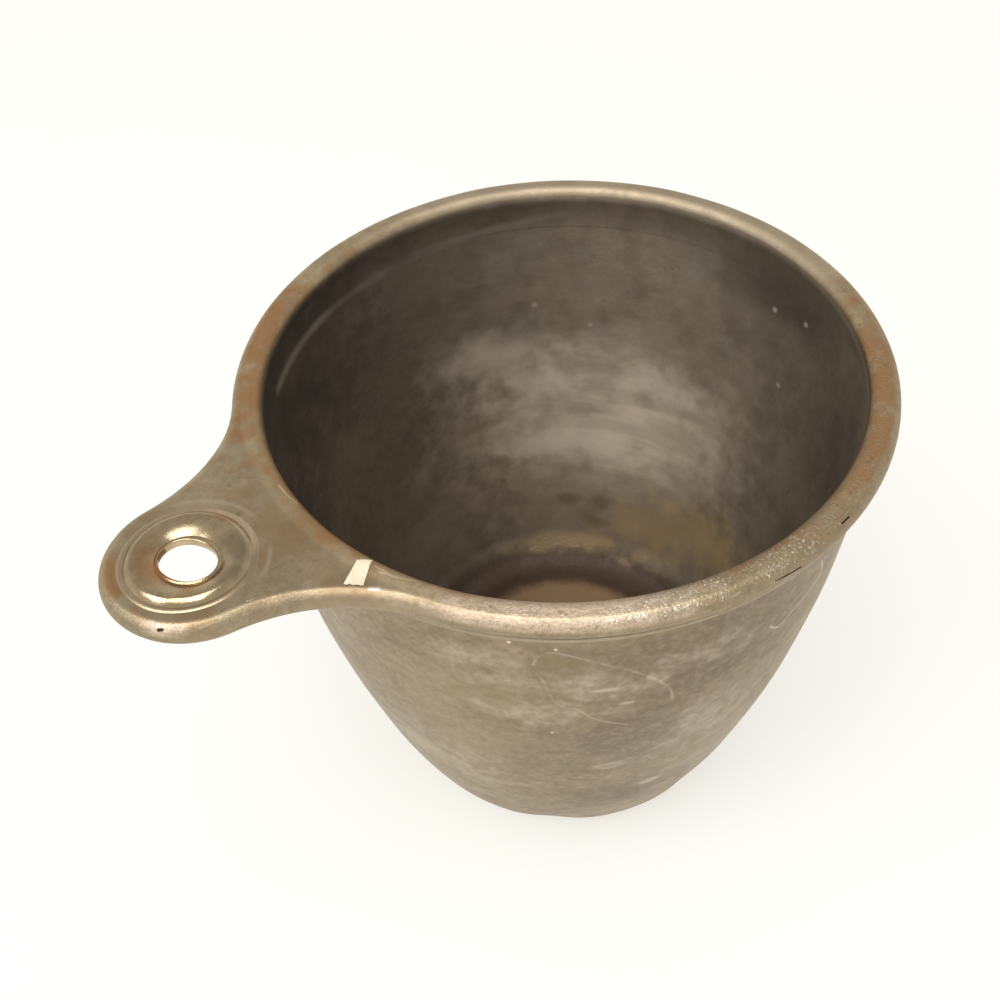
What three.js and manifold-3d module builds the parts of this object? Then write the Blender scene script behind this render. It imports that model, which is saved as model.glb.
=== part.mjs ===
// Dry measuring cup with a flat tab handle.
// A drawn bowl is held at its mouth by a frame stamped from one sheet, which is the rim and the handle.
// The frame's outer edge is curled round a stiffening wire, and an eyelet lines the hanging hole.
// Millimetres, +Z up. The origin is the middle of the base, and the handle points along +X.

import * as THREE from 'three';
import { mergeVertices } from 'three/addons/utils/BufferGeometryUtils.js';
import Module from 'manifold-3d';

const wasm = await Module();
wasm.setup();

const degree = Math.PI / 180;

// Bowl
const cupHeight = 70.1; // from the table to the flat top of the rim
const mouthRadius = 36.86; // outside of the wall, carried on up to the top of the rim
const baseRadius = 20.7; // flat part of the base
const baseCornerRadius = 7.5;
const wallTaper = 2.6 * degree; // lean of the straight upper wall from upright
const straightWall = 16.4; // height of the straight wall below the top of the rim
const bowlSheet = 0.6;
const flangeWidth = 1.0; // how far the mouth flange stands out from the wall
const flangeBend = 0.3; // bend radius under the flange

// Rim and handle frame
const frameSheet = 0.55;
const collarDepth = 6.6; // how far the collar reaches down inside the mouth
const collarFit = 0.15; // gap between the collar's foot and the bowl
const collarEdge = 0.2; // thickness left at the thinned foot of the collar
const shoulderRadius = 1.5; // bend from the collar into the flat top
const shoulderInset = 2.06; // how far the shoulder stands in from the wall line
const curlEndAngle = -150 * degree; // where the free edge of the curl stops, measured from level
const curlCollarGap = 0.19; // gap between that free edge and the collar
const curlSeat = 0.1; // gap between the curl and the flange that it sits on
const tipReach = 47.07; // from the cup's axis to the middle of the rounded handle tip
const tipRadius = 9.3; // outside of the curl round the tip
const rootFillet = 19.5; // hollow corner between the rim and the handle
const handleRise = 4.8 * degree; // how much the handle points up
const bendInset = 2.8; // the upward bend starts this far inside the mouth radius
const bendLength = 3.0;

// Wire in the curl
const wireDiameter = 1.4;
const wireFit = 0.2; // gap between the wire and the curl

// Hanging eyelet
const hangHole = 6.0;
const eyeletShift = 0.5; // the hole lies this far out from the middle of the tip
const eyeletSheet = 0.4; // wall of the barrel
const eyeletFit = 0.1; // gap between the eyelet and the plate
const eyeletRadius = 6.5; // outside of the ring on the plate
const eyeletEdge = 0.22; // thickness of the ring's outer edge
const eyeletStep = 0.4; // width of that edge, outside the crown
const eyeletGroove = 0.05; // how far the crown starts below the top of the edge
const eyeletLip = 0.1; // rounding where the crown turns down into the hole
const eyeletCrown = 0.45; // rise of the crown in the middle of the ring
const eyeletClinchRadius = 4.6; // turned-out edge under the plate
const eyeletClinch = 0.25; // thickness of that edge

// Facets
const bowlSegments = 60;
const cornerSteps = 5;
const bowSteps = 6;
const flangeSteps = 3;
const rimSteps = 60;
const filletSteps = 9;
const tipSteps = 20;
const plateSteps = 4;
const shoulderSteps = 5;
const backSteps = 3;
const curlOuterSteps = 12;
const curlInnerSteps = 6;
const wireSides = 8;
const eyeletSegments = 32;
const eyeletCrownSteps = 8;

// Sizes that follow from the ones above
const wireRadius = wireDiameter / 2;
const curlRadius = wireRadius + wireFit + frameSheet;
const curlHeight = cupHeight - curlRadius;
const plateUnderside = cupHeight - frameSheet;
const collarFoot = cupHeight - collarDepth;
const shoulderHeight = cupHeight - shoulderRadius;
const shoulderMiddle = mouthRadius - shoulderInset + shoulderRadius; // radius of the middle of the bend
const flangeTop = cupHeight - 2 * curlRadius - curlSeat;
const curlEndHeight = curlHeight + curlRadius * Math.sin(curlEndAngle);
const rimLine = collarBack(curlEndHeight) + curlCollarGap - curlRadius * Math.cos(curlEndAngle); // middle of the curl
const tipLine = tipRadius - curlRadius;
const filletLine = rootFillet + curlRadius;

// Outside radius of the straight upper wall at a height
function wallRadius(z) {
  return mouthRadius - (cupHeight - z) * Math.tan(wallTaper);
}

// Radius of the collar's back, which flares from the shoulder down to the inside of the bowl
function collarBack(z) {
  const top = mouthRadius - shoulderInset + frameSheet;
  const foot = wallRadius(collarFoot) - bowlSheet / Math.cos(wallTaper) - collarFit;
  return foot + (top - foot) * (z - collarFoot) / (shoulderHeight - collarFoot);
}

// How far the bent-up handle is raised at a distance from the cup's axis
function handleLift(x) {
  const past = x - (mouthRadius - bendInset);
  if (past <= 0) {
    return 0;
  }
  if (past < bendLength) {
    return Math.tan(handleRise) * past * past / (2 * bendLength);
  }
  return Math.tan(handleRise) * (past - bendLength / 2);
}

function liftedPoint(x, y, z) {
  return new THREE.Vector3(x, y, z + handleLift(x));
}

// Points on an arc or ellipse in the plane of a profile, both ends included
function arcPoints(centre, radiusX, radiusY, from, to, steps) {
  const points = [];
  for (let step = 0; step <= steps; step += 1) {
    const angle = from + (to - from) * step / steps;
    points.push(new THREE.Vector2(centre.x + radiusX * Math.cos(angle), centre.y + radiusY * Math.sin(angle)));
  }
  return points;
}

// Revolves a profile of radius and height about the upright axis
function revolve(profile, segments) {
  return new THREE.LatheGeometry(profile, segments).rotateX(90 * degree);
}

// Skin through a closed run of rings, which all hold the same number of points
function closedSweep(rings) {
  const positions = rings.flat().flatMap((point) => point.toArray());
  const around = rings[0].length;
  const index = [];
  for (let ring = 0; ring < rings.length; ring += 1) {
    const next = (ring + 1) % rings.length;
    for (let side = 0; side < around; side += 1) {
      const above = (side + 1) % around;
      const a = ring * around + side;
      const b = next * around + side;
      const c = next * around + above;
      const d = ring * around + above;
      index.push(a, b, d, b, c, d);
    }
  }
  const geometry = new THREE.BufferGeometry();
  geometry.setAttribute('position', new THREE.Float32BufferAttribute(positions, 3));
  geometry.setIndex(index);
  geometry.computeVertexNormals();
  return geometry;
}

function toSolid(geometry) {
  const bare = geometry.clone();
  bare.deleteAttribute('normal');
  bare.deleteAttribute('uv');
  const merged = mergeVertices(bare);
  const vertProperties = Float32Array.from(merged.attributes.position.array);
  const triVerts = Uint32Array.from(merged.index.array);
  return new wasm.Manifold(new wasm.Mesh({ numProp: 3, vertProperties, triVerts }));
}

function toGeometry(solid) {
  const mesh = solid.getMesh();
  const geometry = new THREE.BufferGeometry();
  geometry.setAttribute('position', new THREE.BufferAttribute(mesh.vertProperties, 3));
  geometry.setIndex(new THREE.BufferAttribute(mesh.triVerts, 1));
  geometry.computeVertexNormals();
  return geometry;
}

function namedPiece(name, geometry, color, roughness) {
  const material = new THREE.MeshStandardMaterial({ color, roughness, metalness: 1 });
  const piece = new THREE.Mesh(geometry, material);
  piece.name = name;
  return piece;
}

// Drawn bowl: one sheet, revolved, with the inside parallel to the outside
function bowlGeometry() {
  const inward = new THREE.Vector2(-Math.cos(wallTaper), Math.sin(wallTaper));
  const bowTop = new THREE.Vector2(wallRadius(cupHeight - straightWall), cupHeight - straightWall);
  const cornerCentre = new THREE.Vector2(baseRadius, baseCornerRadius);

  // The bow is the circle that runs on from the straight wall and touches the base corner.
  const reach = bowTop.clone().sub(cornerCentre);
  const squares = reach.lengthSq() - baseCornerRadius ** 2;
  const bowRadius = -squares / (2 * (reach.dot(inward) + baseCornerRadius));
  const bowCentre = bowTop.clone().addScaledVector(inward, bowRadius);
  const footAngle = cornerCentre.clone().sub(bowCentre).angle() - 360 * degree;
  const bendCentre = new THREE.Vector2(
    wallRadius(flangeTop) + flangeBend,
    flangeTop - bowlSheet - flangeBend,
  );

  function side(offset) {
    const corner = baseCornerRadius - offset;
    const bow = bowRadius - offset;
    const bend = flangeBend + offset;
    return [
      new THREE.Vector2(0, offset),
      ...arcPoints(cornerCentre, corner, corner, -90 * degree, footAngle, cornerSteps),
      ...arcPoints(bowCentre, bow, bow, footAngle, -wallTaper, bowSteps).slice(1),
      ...arcPoints(bendCentre, bend, bend, 180 * degree, 90 * degree, flangeSteps),
      new THREE.Vector2(wallRadius(flangeTop) + flangeWidth, flangeTop - bowlSheet + offset),
    ];
  }

  return revolve([...side(0), ...side(bowlSheet).reverse()], bowlSegments);
}

// Places along the curled edge, counterclockwise: round the rim, out along the handle and back.
// Each holds a point on the middle of the curl, the way out from there, and its way on the collar.
function edgeStations() {
  const rimToFillet = rimLine + filletLine;
  const tipToFillet = tipLine + filletLine;
  const rootCosine = (rimToFillet ** 2 + tipReach ** 2 - tipToFillet ** 2) / (2 * rimToFillet * tipReach);
  const rootAngle = Math.acos(rootCosine);
  const rootCentre = new THREE.Vector2(Math.cos(rootAngle), Math.sin(rootAngle)).multiplyScalar(rimToFillet);
  const tipAngle = Math.atan2(rootCentre.y, rootCentre.x - tipReach);
  const way = (angle) => new THREE.Vector2(Math.cos(angle), Math.sin(angle));
  const between = (from, to, step, steps) => from + (to - from) * step / steps;
  const stations = [];

  for (let step = 0; step < rimSteps; step += 1) {
    const out = way(between(rootAngle, 360 * degree - rootAngle, step, rimSteps));
    stations.push({ edge: out.clone().multiplyScalar(rimLine), out, collar: out });
  }

  const handleSteps = 2 * filletSteps + tipSteps;
  for (let step = 0; step < handleSteps; step += 1) {
    const collar = way(between(-rootAngle, rootAngle, step, handleSteps));
    if (step < filletSteps) {
      const out = way(between(-rootAngle, -tipAngle, step, filletSteps));
      const edge = new THREE.Vector2(rootCentre.x, -rootCentre.y).addScaledVector(out, -filletLine);
      stations.push({ edge, out, collar });
    } else if (step < filletSteps + tipSteps) {
      const out = way(between(-tipAngle, tipAngle, step - filletSteps, tipSteps));
      const edge = new THREE.Vector2(tipReach, 0).addScaledVector(out, tipLine);
      stations.push({ edge, out, collar });
    } else {
      const out = way(between(tipAngle, rootAngle, step - filletSteps - tipSteps, filletSteps));
      const edge = rootCentre.clone().addScaledVector(out, -filletLine);
      stations.push({ edge, out, collar });
    }
  }
  return stations;
}

// Cross-section of the frame at a station: up the collar's back, out under the plate, round the
// curl and its free edge, back over the top, and down the shoulder and the collar's face
function frameSection({ edge, out, collar }) {
  const collarPoint = ({ x, y }) => liftedPoint(collar.x * x, collar.y * x, y);
  const platePoint = (share, z) => {
    const point = collar.clone().multiplyScalar(shoulderMiddle).lerp(edge, share);
    return liftedPoint(point.x, point.y, z);
  };
  const curlPoint = ({ x, y }) => liftedPoint(edge.x + out.x * x, edge.y + out.y * x, curlHeight + y);
  const curlMiddle = new THREE.Vector2(0, 0);
  const curlInside = curlRadius - frameSheet;
  const insideOfCurl = arcPoints(curlMiddle, curlInside, curlInside, 90 * degree, curlEndAngle, curlInnerSteps);
  const outsideOfCurl = arcPoints(curlMiddle, curlRadius, curlRadius, curlEndAngle, 90 * degree, curlOuterSteps);
  const bendMiddle = new THREE.Vector2(shoulderMiddle, shoulderHeight);
  const backRadius = shoulderRadius - frameSheet;
  const back = arcPoints(bendMiddle, backRadius, backRadius, 180 * degree, 90 * degree, backSteps);
  const shoulder = arcPoints(bendMiddle, shoulderRadius, shoulderRadius, 90 * degree, 180 * degree, shoulderSteps);
  const shares = Array.from({ length: plateSteps - 1 }, (_, step) => (step + 1) / plateSteps);
  return [
    collarPoint(new THREE.Vector2(collarBack(collarFoot), collarFoot)),
    ...back.map(collarPoint),
    ...shares.map((share) => platePoint(share, plateUnderside)),
    ...insideOfCurl.map(curlPoint),
    ...outsideOfCurl.map(curlPoint),
    ...shares.toReversed().map((share) => platePoint(share, cupHeight)),
    ...shoulder.map(collarPoint),
    collarPoint(new THREE.Vector2(collarBack(collarFoot) - collarEdge, collarFoot)),
  ];
}

function wireSection({ edge, out }) {
  const ring = [];
  for (let side = 0; side < wireSides; side += 1) {
    const angle = 360 * degree * side / wireSides;
    const reach = wireRadius * Math.cos(angle);
    const height = curlHeight + wireRadius * Math.sin(angle);
    ring.push(liftedPoint(edge.x + out.x * reach, edge.y + out.y * reach, height));
  }
  return ring;
}

// Eyelet of formed sheet: a low crowned ring on the plate, a barrel through it and a clinched edge below
function eyeletGeometry() {
  const bore = hangHole / 2;
  const barrel = bore + eyeletSheet;
  const edgeTop = eyeletFit + eyeletEdge;
  const crownStart = new THREE.Vector2(eyeletRadius - eyeletStep, edgeTop - eyeletGroove);
  const crownEnd = new THREE.Vector2(bore + eyeletLip, eyeletLip);
  const clinchTop = -frameSheet - eyeletFit;
  const clinchFoot = clinchTop - eyeletClinch;
  const crown = Array.from({ length: eyeletCrownSteps + 1 }, (_, step) => {
    const share = step / eyeletCrownSteps;
    const point = crownStart.clone().lerp(crownEnd, share);
    point.y += eyeletCrown * 4 * share * (1 - share);
    return point;
  });
  const profile = [
    new THREE.Vector2(eyeletRadius, eyeletFit),
    new THREE.Vector2(eyeletRadius, edgeTop),
    ...crown,
    new THREE.Vector2(bore, 0),
    new THREE.Vector2(bore, clinchFoot),
    new THREE.Vector2(eyeletClinchRadius, clinchFoot),
    new THREE.Vector2(eyeletClinchRadius, clinchTop),
    new THREE.Vector2(barrel, clinchTop),
    new THREE.Vector2(barrel, eyeletFit),
  ];
  profile.push(profile[0].clone());
  return revolve(profile, eyeletSegments);
}

// The eyelet stands square to the raised plate, near the middle of the handle tip.
const eyeletSeat = new THREE.Group();
eyeletSeat.position.copy(liftedPoint(tipReach + eyeletShift, 0, cupHeight));
eyeletSeat.rotation.y = -handleRise;
eyeletSeat.updateMatrix();

function frameGeometry(stations) {
  const holeRadius = hangHole / 2 + eyeletSheet + eyeletFit;
  const punchLength = 4 * frameSheet;
  const punch = new THREE.CylinderGeometry(holeRadius, holeRadius, punchLength, eyeletSegments);
  punch.rotateX(90 * degree);
  punch.applyMatrix4(eyeletSeat.matrix);
  const sheet = toSolid(closedSweep(stations.map(frameSection)));
  return toGeometry(sheet.subtract(toSolid(punch)));
}

const stations = edgeStations();
const measuringCup = new THREE.Group();
measuringCup.add(namedPiece('bowl', bowlGeometry(), 0x8f826c, 0.42));
measuringCup.add(namedPiece('rim_handle_frame', frameGeometry(stations), 0x978871, 0.4));
measuringCup.add(namedPiece('rim_wire', closedSweep(stations.map(wireSection)), 0x6f675c, 0.5));
eyeletSeat.add(namedPiece('hang_eyelet', eyeletGeometry(), 0xa3937a, 0.3));
measuringCup.add(eyeletSeat);

export default measuringCup;
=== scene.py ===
"""Looks of an old dry measuring cup: a drawn bowl, a rim and handle frame with a curled edge,
a hanging eyelet and a torn scrap of blank paper that is stuck beside the handle's root.

Sizes are millimetres in the part's own frame: the origin is the middle of the base, +Z is up and
the handle points along +X. Meshes are turned into metres where they are made.
"""

import math

import bpy
from mathutils import Matrix, Vector, noise


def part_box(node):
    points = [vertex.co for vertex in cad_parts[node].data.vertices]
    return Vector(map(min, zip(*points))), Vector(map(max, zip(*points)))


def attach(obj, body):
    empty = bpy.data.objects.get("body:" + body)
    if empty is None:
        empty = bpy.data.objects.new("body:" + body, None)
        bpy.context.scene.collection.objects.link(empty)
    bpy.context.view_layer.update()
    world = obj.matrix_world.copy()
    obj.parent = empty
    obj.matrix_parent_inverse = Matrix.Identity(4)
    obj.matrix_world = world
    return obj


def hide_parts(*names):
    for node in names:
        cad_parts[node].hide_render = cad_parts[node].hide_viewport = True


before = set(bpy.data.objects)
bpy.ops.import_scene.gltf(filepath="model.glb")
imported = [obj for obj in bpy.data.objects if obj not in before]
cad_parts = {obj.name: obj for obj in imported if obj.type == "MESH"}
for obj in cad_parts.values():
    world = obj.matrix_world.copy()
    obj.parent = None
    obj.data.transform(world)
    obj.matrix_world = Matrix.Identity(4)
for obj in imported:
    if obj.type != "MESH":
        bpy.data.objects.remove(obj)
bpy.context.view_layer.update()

MM = 0.001
SHARP_CORNER = math.radians(40)

# Sizes read from the frame
FLANGE_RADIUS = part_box("bowl")[1].x / MM
FLANGE_RAISE = 0.08  # brings the flange close up under the curl
FLANGE_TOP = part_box("bowl")[1].z / MM + FLANGE_RAISE
COLLAR_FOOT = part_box("rim_handle_frame")[0].z / MM
RIM_RADIUS = -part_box("rim_handle_frame")[0].x / MM
TIP_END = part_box("rim_handle_frame")[1].x / MM

# Bowl, with the same sizes as its solid
CUP_HEIGHT = 70.1
MOUTH_RADIUS = 36.86
BASE_RADIUS = 20.7
BASE_CORNER = 7.5
WALL_TAPER = math.radians(2.6)
STRAIGHT_WALL = 16.4
BOWL_SHEET = 0.6
FLANGE_BEND = 0.3
FLANGE_ROUND = 0.2

# Rim and handle frame
FRAME_SHEET = 0.55
COLLAR_FIT = 0.02
COLLAR_EDGE = 0.02
SHOULDER = 1.5
SHOULDER_INSET = 2.06
SHOULDER_TUCK = 21
SHOULDER_MIDDLE = MOUTH_RADIUS - SHOULDER_INSET + SHOULDER
CURL_RADIUS = 1.45
CURL_END = -150
TIP_RADIUS = 9.3
ROOT_FILLET = 19.5
HANDLE_RISE = math.radians(4.8)
BEND_INSET = 2.8
BEND_LENGTH = 3.0
RIM_LINE = RIM_RADIUS - CURL_RADIUS
TIP_LINE = TIP_RADIUS - CURL_RADIUS
FILLET_LINE = ROOT_FILLET + CURL_RADIUS
TIP_REACH = TIP_END - TIP_RADIUS

# Hanging eyelet
HANG_HOLE = 5.55
HOLE_OVAL = 0.275  # the hole has been pressed a little oval, and off the middle
HOLE_OVAL_TURN = math.radians(114)
HOLE_OFFSET = Vector((0.19, 0.17, 0.0))
EYELET_SHIFT = 0.5
EYELET_SHEET = 0.4
EYELET_FIT = 0.1
PLATE_HOLE_RADIUS = 3.9
EYELET_SKIRT_RADIUS = 7.1
EYELET_SKIRT_SINK = 0.08
EYELET_EDGE_RADIUS = 6.5
EYELET_EDGE = 0.13
EYELET_VALLEY_RADIUS = 6.2
EYELET_VALLEY = 0.08
EYELET_CREST_RADIUS = 5.4
EYELET_CREST = 0.62
EYELET_DISH = -0.1
EYELET_LIP = 0.15
EYELET_LIP_RISE = 0.12
EYELET_LIP_FOOT = 0.45
EYELET_CLINCH_RADIUS = 4.6
EYELET_CLINCH = 0.25
EYELET_AXIS = TIP_REACH + EYELET_SHIFT
EYELET_SEGMENTS = 128
PRESS_RING = 7.85

# Unevenness of the old sheet: how wide the waves are and how deep
BOWL_WAVE = 17.0
BOWL_WAVE_DEPTH = 0.22
FRAME_WAVE = 6.0
FRAME_WAVE_DEPTH = 0.05
DENT_WIDTH = 3.5
DENT_DEPTH = 0.45
DENTS = [(28.5, 11.0), (46.0, 5.5), (92.0, 7.0), (205.0, 6.0)]  # turn in degrees, height

# Paper scrap, by its corners on the plate
PAPER_CORNERS = [(37.4, 12.1), (36.0, 13.4), (33.55, 11.15), (34.8, 10.4)]
PAPER_LIFT = 0.04
PAPER_SHEET = 0.1
PAPER_TEAR = 0.2

# Camera, placed where the photograph was taken from
CAMERA_PLACE = Vector((57.95, 68.68, 146.245))
CAMERA_FORWARD = Vector((-0.37936, -0.54379, -0.74858))
CAMERA_UP = Vector((-0.49288, -0.56594, 0.66089))
CAMERA_LENS = 35.99
CAMERA_SENSOR = 36.0

# Studio
FLOOR_HALF = 1.5
FLOOR_COLOR = (0.38, 0.38, 0.37, 1)
FLOOR_GLOW_COLOR = (1, 0.975, 0.915, 1)
FLOOR_GLOW = 0.62
ROOM_COLOR = (1, 0.98, 0.945, 1)
ROOM_LOW = 0.3
ROOM_HIGH = 0.75
ROOM_SIDE_LIGHT = 0.8
ROOM_TOP_LIGHT = 0.55


def arc(centre, radius, start, stop, steps):
    """Points on a circle from one angle to another in degrees, both ends included."""
    start = math.radians(start)
    stop = math.radians(stop)
    points = []
    for step in range(steps + 1):
        angle = start + (stop - start) * step / steps
        points.append((centre[0] + radius * math.cos(angle), centre[1] + radius * math.sin(angle)))
    return points


def between(start, stop, steps):
    """Points inside a straight run, without its ends."""
    return [Vector(start).lerp(Vector(stop), step / steps) for step in range(1, steps)]


def wall_radius(z):
    """Outside radius of the straight upper wall."""
    return MOUTH_RADIUS - (CUP_HEIGHT - z) * math.tan(WALL_TAPER)


# The bow of the lower wall is the circle that runs on from the straight wall and touches the base corner
WALL_INWARD = Vector((-math.cos(WALL_TAPER), math.sin(WALL_TAPER)))
BOW_TOP = Vector((wall_radius(CUP_HEIGHT - STRAIGHT_WALL), CUP_HEIGHT - STRAIGHT_WALL))
CORNER_MIDDLE = Vector((BASE_RADIUS, BASE_CORNER))
CORNER_TO_TOP = BOW_TOP - CORNER_MIDDLE
BOW_RADIUS = (BASE_CORNER ** 2 - CORNER_TO_TOP.length_squared) / (
    2 * (CORNER_TO_TOP.dot(WALL_INWARD) + BASE_CORNER)
)
BOW_MIDDLE = BOW_TOP + WALL_INWARD * BOW_RADIUS
BOW_FOOT = math.degrees(math.atan2(CORNER_MIDDLE.y - BOW_MIDDLE.y, CORNER_MIDDLE.x - BOW_MIDDLE.x))


def on_wall(turn, z, inside=False):
    """The point of the bowl's wall at a turn about the axis and a height."""
    if z > BOW_TOP.y:
        radius = wall_radius(z)
    else:
        radius = BOW_MIDDLE.x + math.sqrt(BOW_RADIUS ** 2 - (z - BOW_MIDDLE.y) ** 2)
    if inside:
        radius -= BOWL_SHEET
    angle = math.radians(turn)
    return Vector((radius * math.cos(angle), radius * math.sin(angle), z))


def handle_lift(x):
    """How far the bent-up handle is raised."""
    past = x - (MOUTH_RADIUS - BEND_INSET)
    if past <= 0:
        return 0.0
    if past < BEND_LENGTH:
        return math.tan(HANDLE_RISE) * past * past / (2 * BEND_LENGTH)
    return math.tan(HANDLE_RISE) * (past - BEND_LENGTH / 2)


def lifted(x, y, z):
    return Vector((x, y, z + handle_lift(x)))


def plate_top(x, y):
    """The point on top of the flat plate, or of the shoulder that it turns down with."""
    inset = max(SHOULDER_MIDDLE - math.hypot(x, y), 0)
    drop = SHOULDER - math.sqrt(SHOULDER ** 2 - min(inset, SHOULDER) ** 2)
    return lifted(x, y, CUP_HEIGHT - drop)


def new_piece(name, points, faces):
    """A smooth mesh piece from points in millimetres, sharp only at real corners."""
    mesh = bpy.data.meshes.new(name)
    mesh.from_pydata([point * MM for point in points], [], faces)
    mesh.shade_smooth()
    mesh.set_sharp_from_angle(angle=SHARP_CORNER)
    piece = bpy.data.objects.new(name, mesh)
    bpy.context.scene.collection.objects.link(piece)
    return piece


def revolve(profile, segments, closed=False):
    """Points and faces of a profile of (radius, height) turned about the upright axis.

    A closed profile runs on from its last point to its first.
    """
    points = []
    rows = []
    for radius, height in profile:
        count = segments if radius > 0 else 1
        rows.append(range(len(points), len(points) + count))
        for step in range(count):
            turn = 2 * math.pi * step / segments
            points.append(Vector((radius * math.cos(turn), radius * math.sin(turn), height)))
    if closed:
        rows.append(rows[0])
    faces = []
    for low, high in zip(rows, rows[1:]):
        for step in range(segments):
            after = (step + 1) % segments
            around = ((low, step), (low, after), (high, after), (high, step))
            corners = [row[place % len(row)] for row, place in around]
            faces.append(list(dict.fromkeys(corners)))
    return points, faces


def bowl_profile():
    """Outside of the bowl from the base up to the flange edge, and the inside back down."""
    bend = (wall_radius(FLANGE_TOP) + FLANGE_BEND, FLANGE_TOP - BOWL_SHEET - FLANGE_BEND)

    def side(offset):
        floor = [(BASE_RADIUS * share / 10, offset) for share in range(10)]
        low = arc(CORNER_MIDDLE, BASE_CORNER - offset, -90, BOW_FOOT, 24)
        wall = arc(BOW_MIDDLE, BOW_RADIUS - offset, BOW_FOOT, -math.degrees(WALL_TAPER), 60)
        bend_radius = FLANGE_BEND + offset
        straight = between(wall[-1], (bend[0] - bend_radius, bend[1]), 16)
        return floor + low + wall[1:] + straight + arc(bend, bend_radius, 180, 90, 8)

    edge = (FLANGE_RADIUS - FLANGE_ROUND, FLANGE_TOP - BOWL_SHEET + FLANGE_ROUND)
    top_edge = (edge[0], FLANGE_TOP - FLANGE_ROUND)
    rounded = arc(edge, FLANGE_ROUND, -90, 0, 4) + arc(top_edge, FLANGE_ROUND, 0, 90, 4)
    outside = side(0.0) + rounded
    return outside + side(BOWL_SHEET)[::-1], len(outside)


def worn_wall(point):
    """Move a point of the bowl in or out, for the waves and dents of old thin sheet."""
    flat = Vector((point.x, point.y, 0))
    if flat.length < BASE_RADIUS / 2:
        return point
    held = min(max((COLLAR_FOOT - point.z) / BOWL_WAVE, 0), 1)
    move = BOWL_WAVE_DEPTH * noise.noise(point / BOWL_WAVE) * held
    for turn, height in DENTS:
        away = (point - on_wall(turn, height)).length / DENT_WIDTH
        move -= DENT_DEPTH * math.exp(-away * away)
    return point + flat.normalized() * move


def make_bowl():
    segments = 288
    profile, outside_count = bowl_profile()
    points, faces = revolve(profile, segments)
    piece = new_piece("bowl_shell", [worn_wall(point) for point in points], faces)
    piece.data.materials.append(bowl_outside())
    piece.data.materials.append(bowl_inside())
    for number, face in enumerate(piece.data.polygons):
        face.material_index = 0 if number < outside_count * segments else 1
    return piece


def edge_stations(rim_steps, fillet_steps, tip_steps):
    """Places along the curled edge: the middle of the curl, the way out, and the way on the collar."""
    rim_to_fillet = RIM_LINE + FILLET_LINE
    tip_to_fillet = TIP_LINE + FILLET_LINE
    root = math.acos(
        (rim_to_fillet ** 2 + TIP_REACH ** 2 - tip_to_fillet ** 2) / (2 * rim_to_fillet * TIP_REACH)
    )
    centre = Vector((math.cos(root), math.sin(root))) * rim_to_fillet
    tip = math.atan2(centre.y, centre.x - TIP_REACH)
    handle_steps = 2 * fillet_steps + tip_steps

    def way(start, stop, step, steps):
        angle = start + (stop - start) * step / steps
        return Vector((math.cos(angle), math.sin(angle)))

    stations = []
    for step in range(rim_steps):
        out = way(root, 2 * math.pi - root, step, rim_steps)
        stations.append((out * RIM_LINE, out, out))
    for step in range(handle_steps):
        collar = way(-root, root, step, handle_steps)
        if step < fillet_steps:
            out = way(-root, -tip, step, fillet_steps)
            edge = Vector((centre.x, -centre.y)) - out * FILLET_LINE
        elif step < fillet_steps + tip_steps:
            out = way(-tip, tip, step - fillet_steps, tip_steps)
            edge = Vector((TIP_REACH, 0)) + out * TIP_LINE
        else:
            out = way(tip, root, step - fillet_steps - tip_steps, fillet_steps)
            edge = centre - out * FILLET_LINE
        stations.append((edge, out, collar))
    return stations


def slope(top, foot, power, steps):
    """A run down from a level top, which falls the faster the nearer it comes to its foot."""
    points = []
    for step in range(1, steps + 1):
        share = step / steps
        radius = top[0] + (foot[0] - top[0]) * share
        points.append((radius, top[1] + (foot[1] - top[1]) * share ** power))
    return points


def flare(foot, top, steps):
    """A run up from an upright foot, which leans in the more the nearer it comes to its top."""
    return [(radius, height) for height, radius in slope(foot[::-1], top[::-1], power=2.0, steps=steps)]


def frame_section(station):
    """Section of the frame: up behind the collar, under the plate, round the curl and back over the top."""
    edge, out, collar = station
    shoulder = (SHOULDER_MIDDLE, CUP_HEIGHT - SHOULDER)
    plate_steps = 16
    collar_steps = 10

    def on_collar(place):
        return lifted(collar.x * place[0], collar.y * place[0], place[1])

    def on_plate(step, z):
        point = (collar * shoulder[0]).lerp(edge, step / plate_steps)
        return lifted(point.x, point.y, z)

    def on_curl(place):
        point = edge + out * place[0]
        return lifted(point.x, point.y, CUP_HEIGHT - CURL_RADIUS + place[1])

    inner = CURL_RADIUS - FRAME_SHEET
    collar_seat = wall_radius(COLLAR_FOOT) - BOWL_SHEET / math.cos(WALL_TAPER) - COLLAR_FIT
    foot_back = (collar_seat, COLLAR_FOOT)
    foot_face = (collar_seat - COLLAR_EDGE, COLLAR_FOOT)
    back_bend = arc(shoulder, SHOULDER - FRAME_SHEET, 180, 90, 6)
    face_bend = arc(shoulder, SHOULDER, 90, 180 + SHOULDER_TUCK, 18)
    back = [foot_back] + flare(foot_back, back_bend[0], collar_steps) + back_bend[1:]
    face = [foot_face] + flare(foot_face, face_bend[-1], collar_steps)
    ring = [on_collar(place) for place in back]
    ring += [on_plate(step, CUP_HEIGHT - FRAME_SHEET) for step in range(1, plate_steps)]
    ring += [on_curl(place) for place in arc((0, 0), inner, 90, CURL_END, 24)]
    ring += [on_curl(place) for place in arc((0, 0), CURL_RADIUS, CURL_END, 90, 40)]
    ring += [on_plate(step, CUP_HEIGHT) for step in range(plate_steps - 1, 0, -1)]
    ring += [on_collar(place) for place in face_bend + face[-2::-1]]
    return ring


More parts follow.
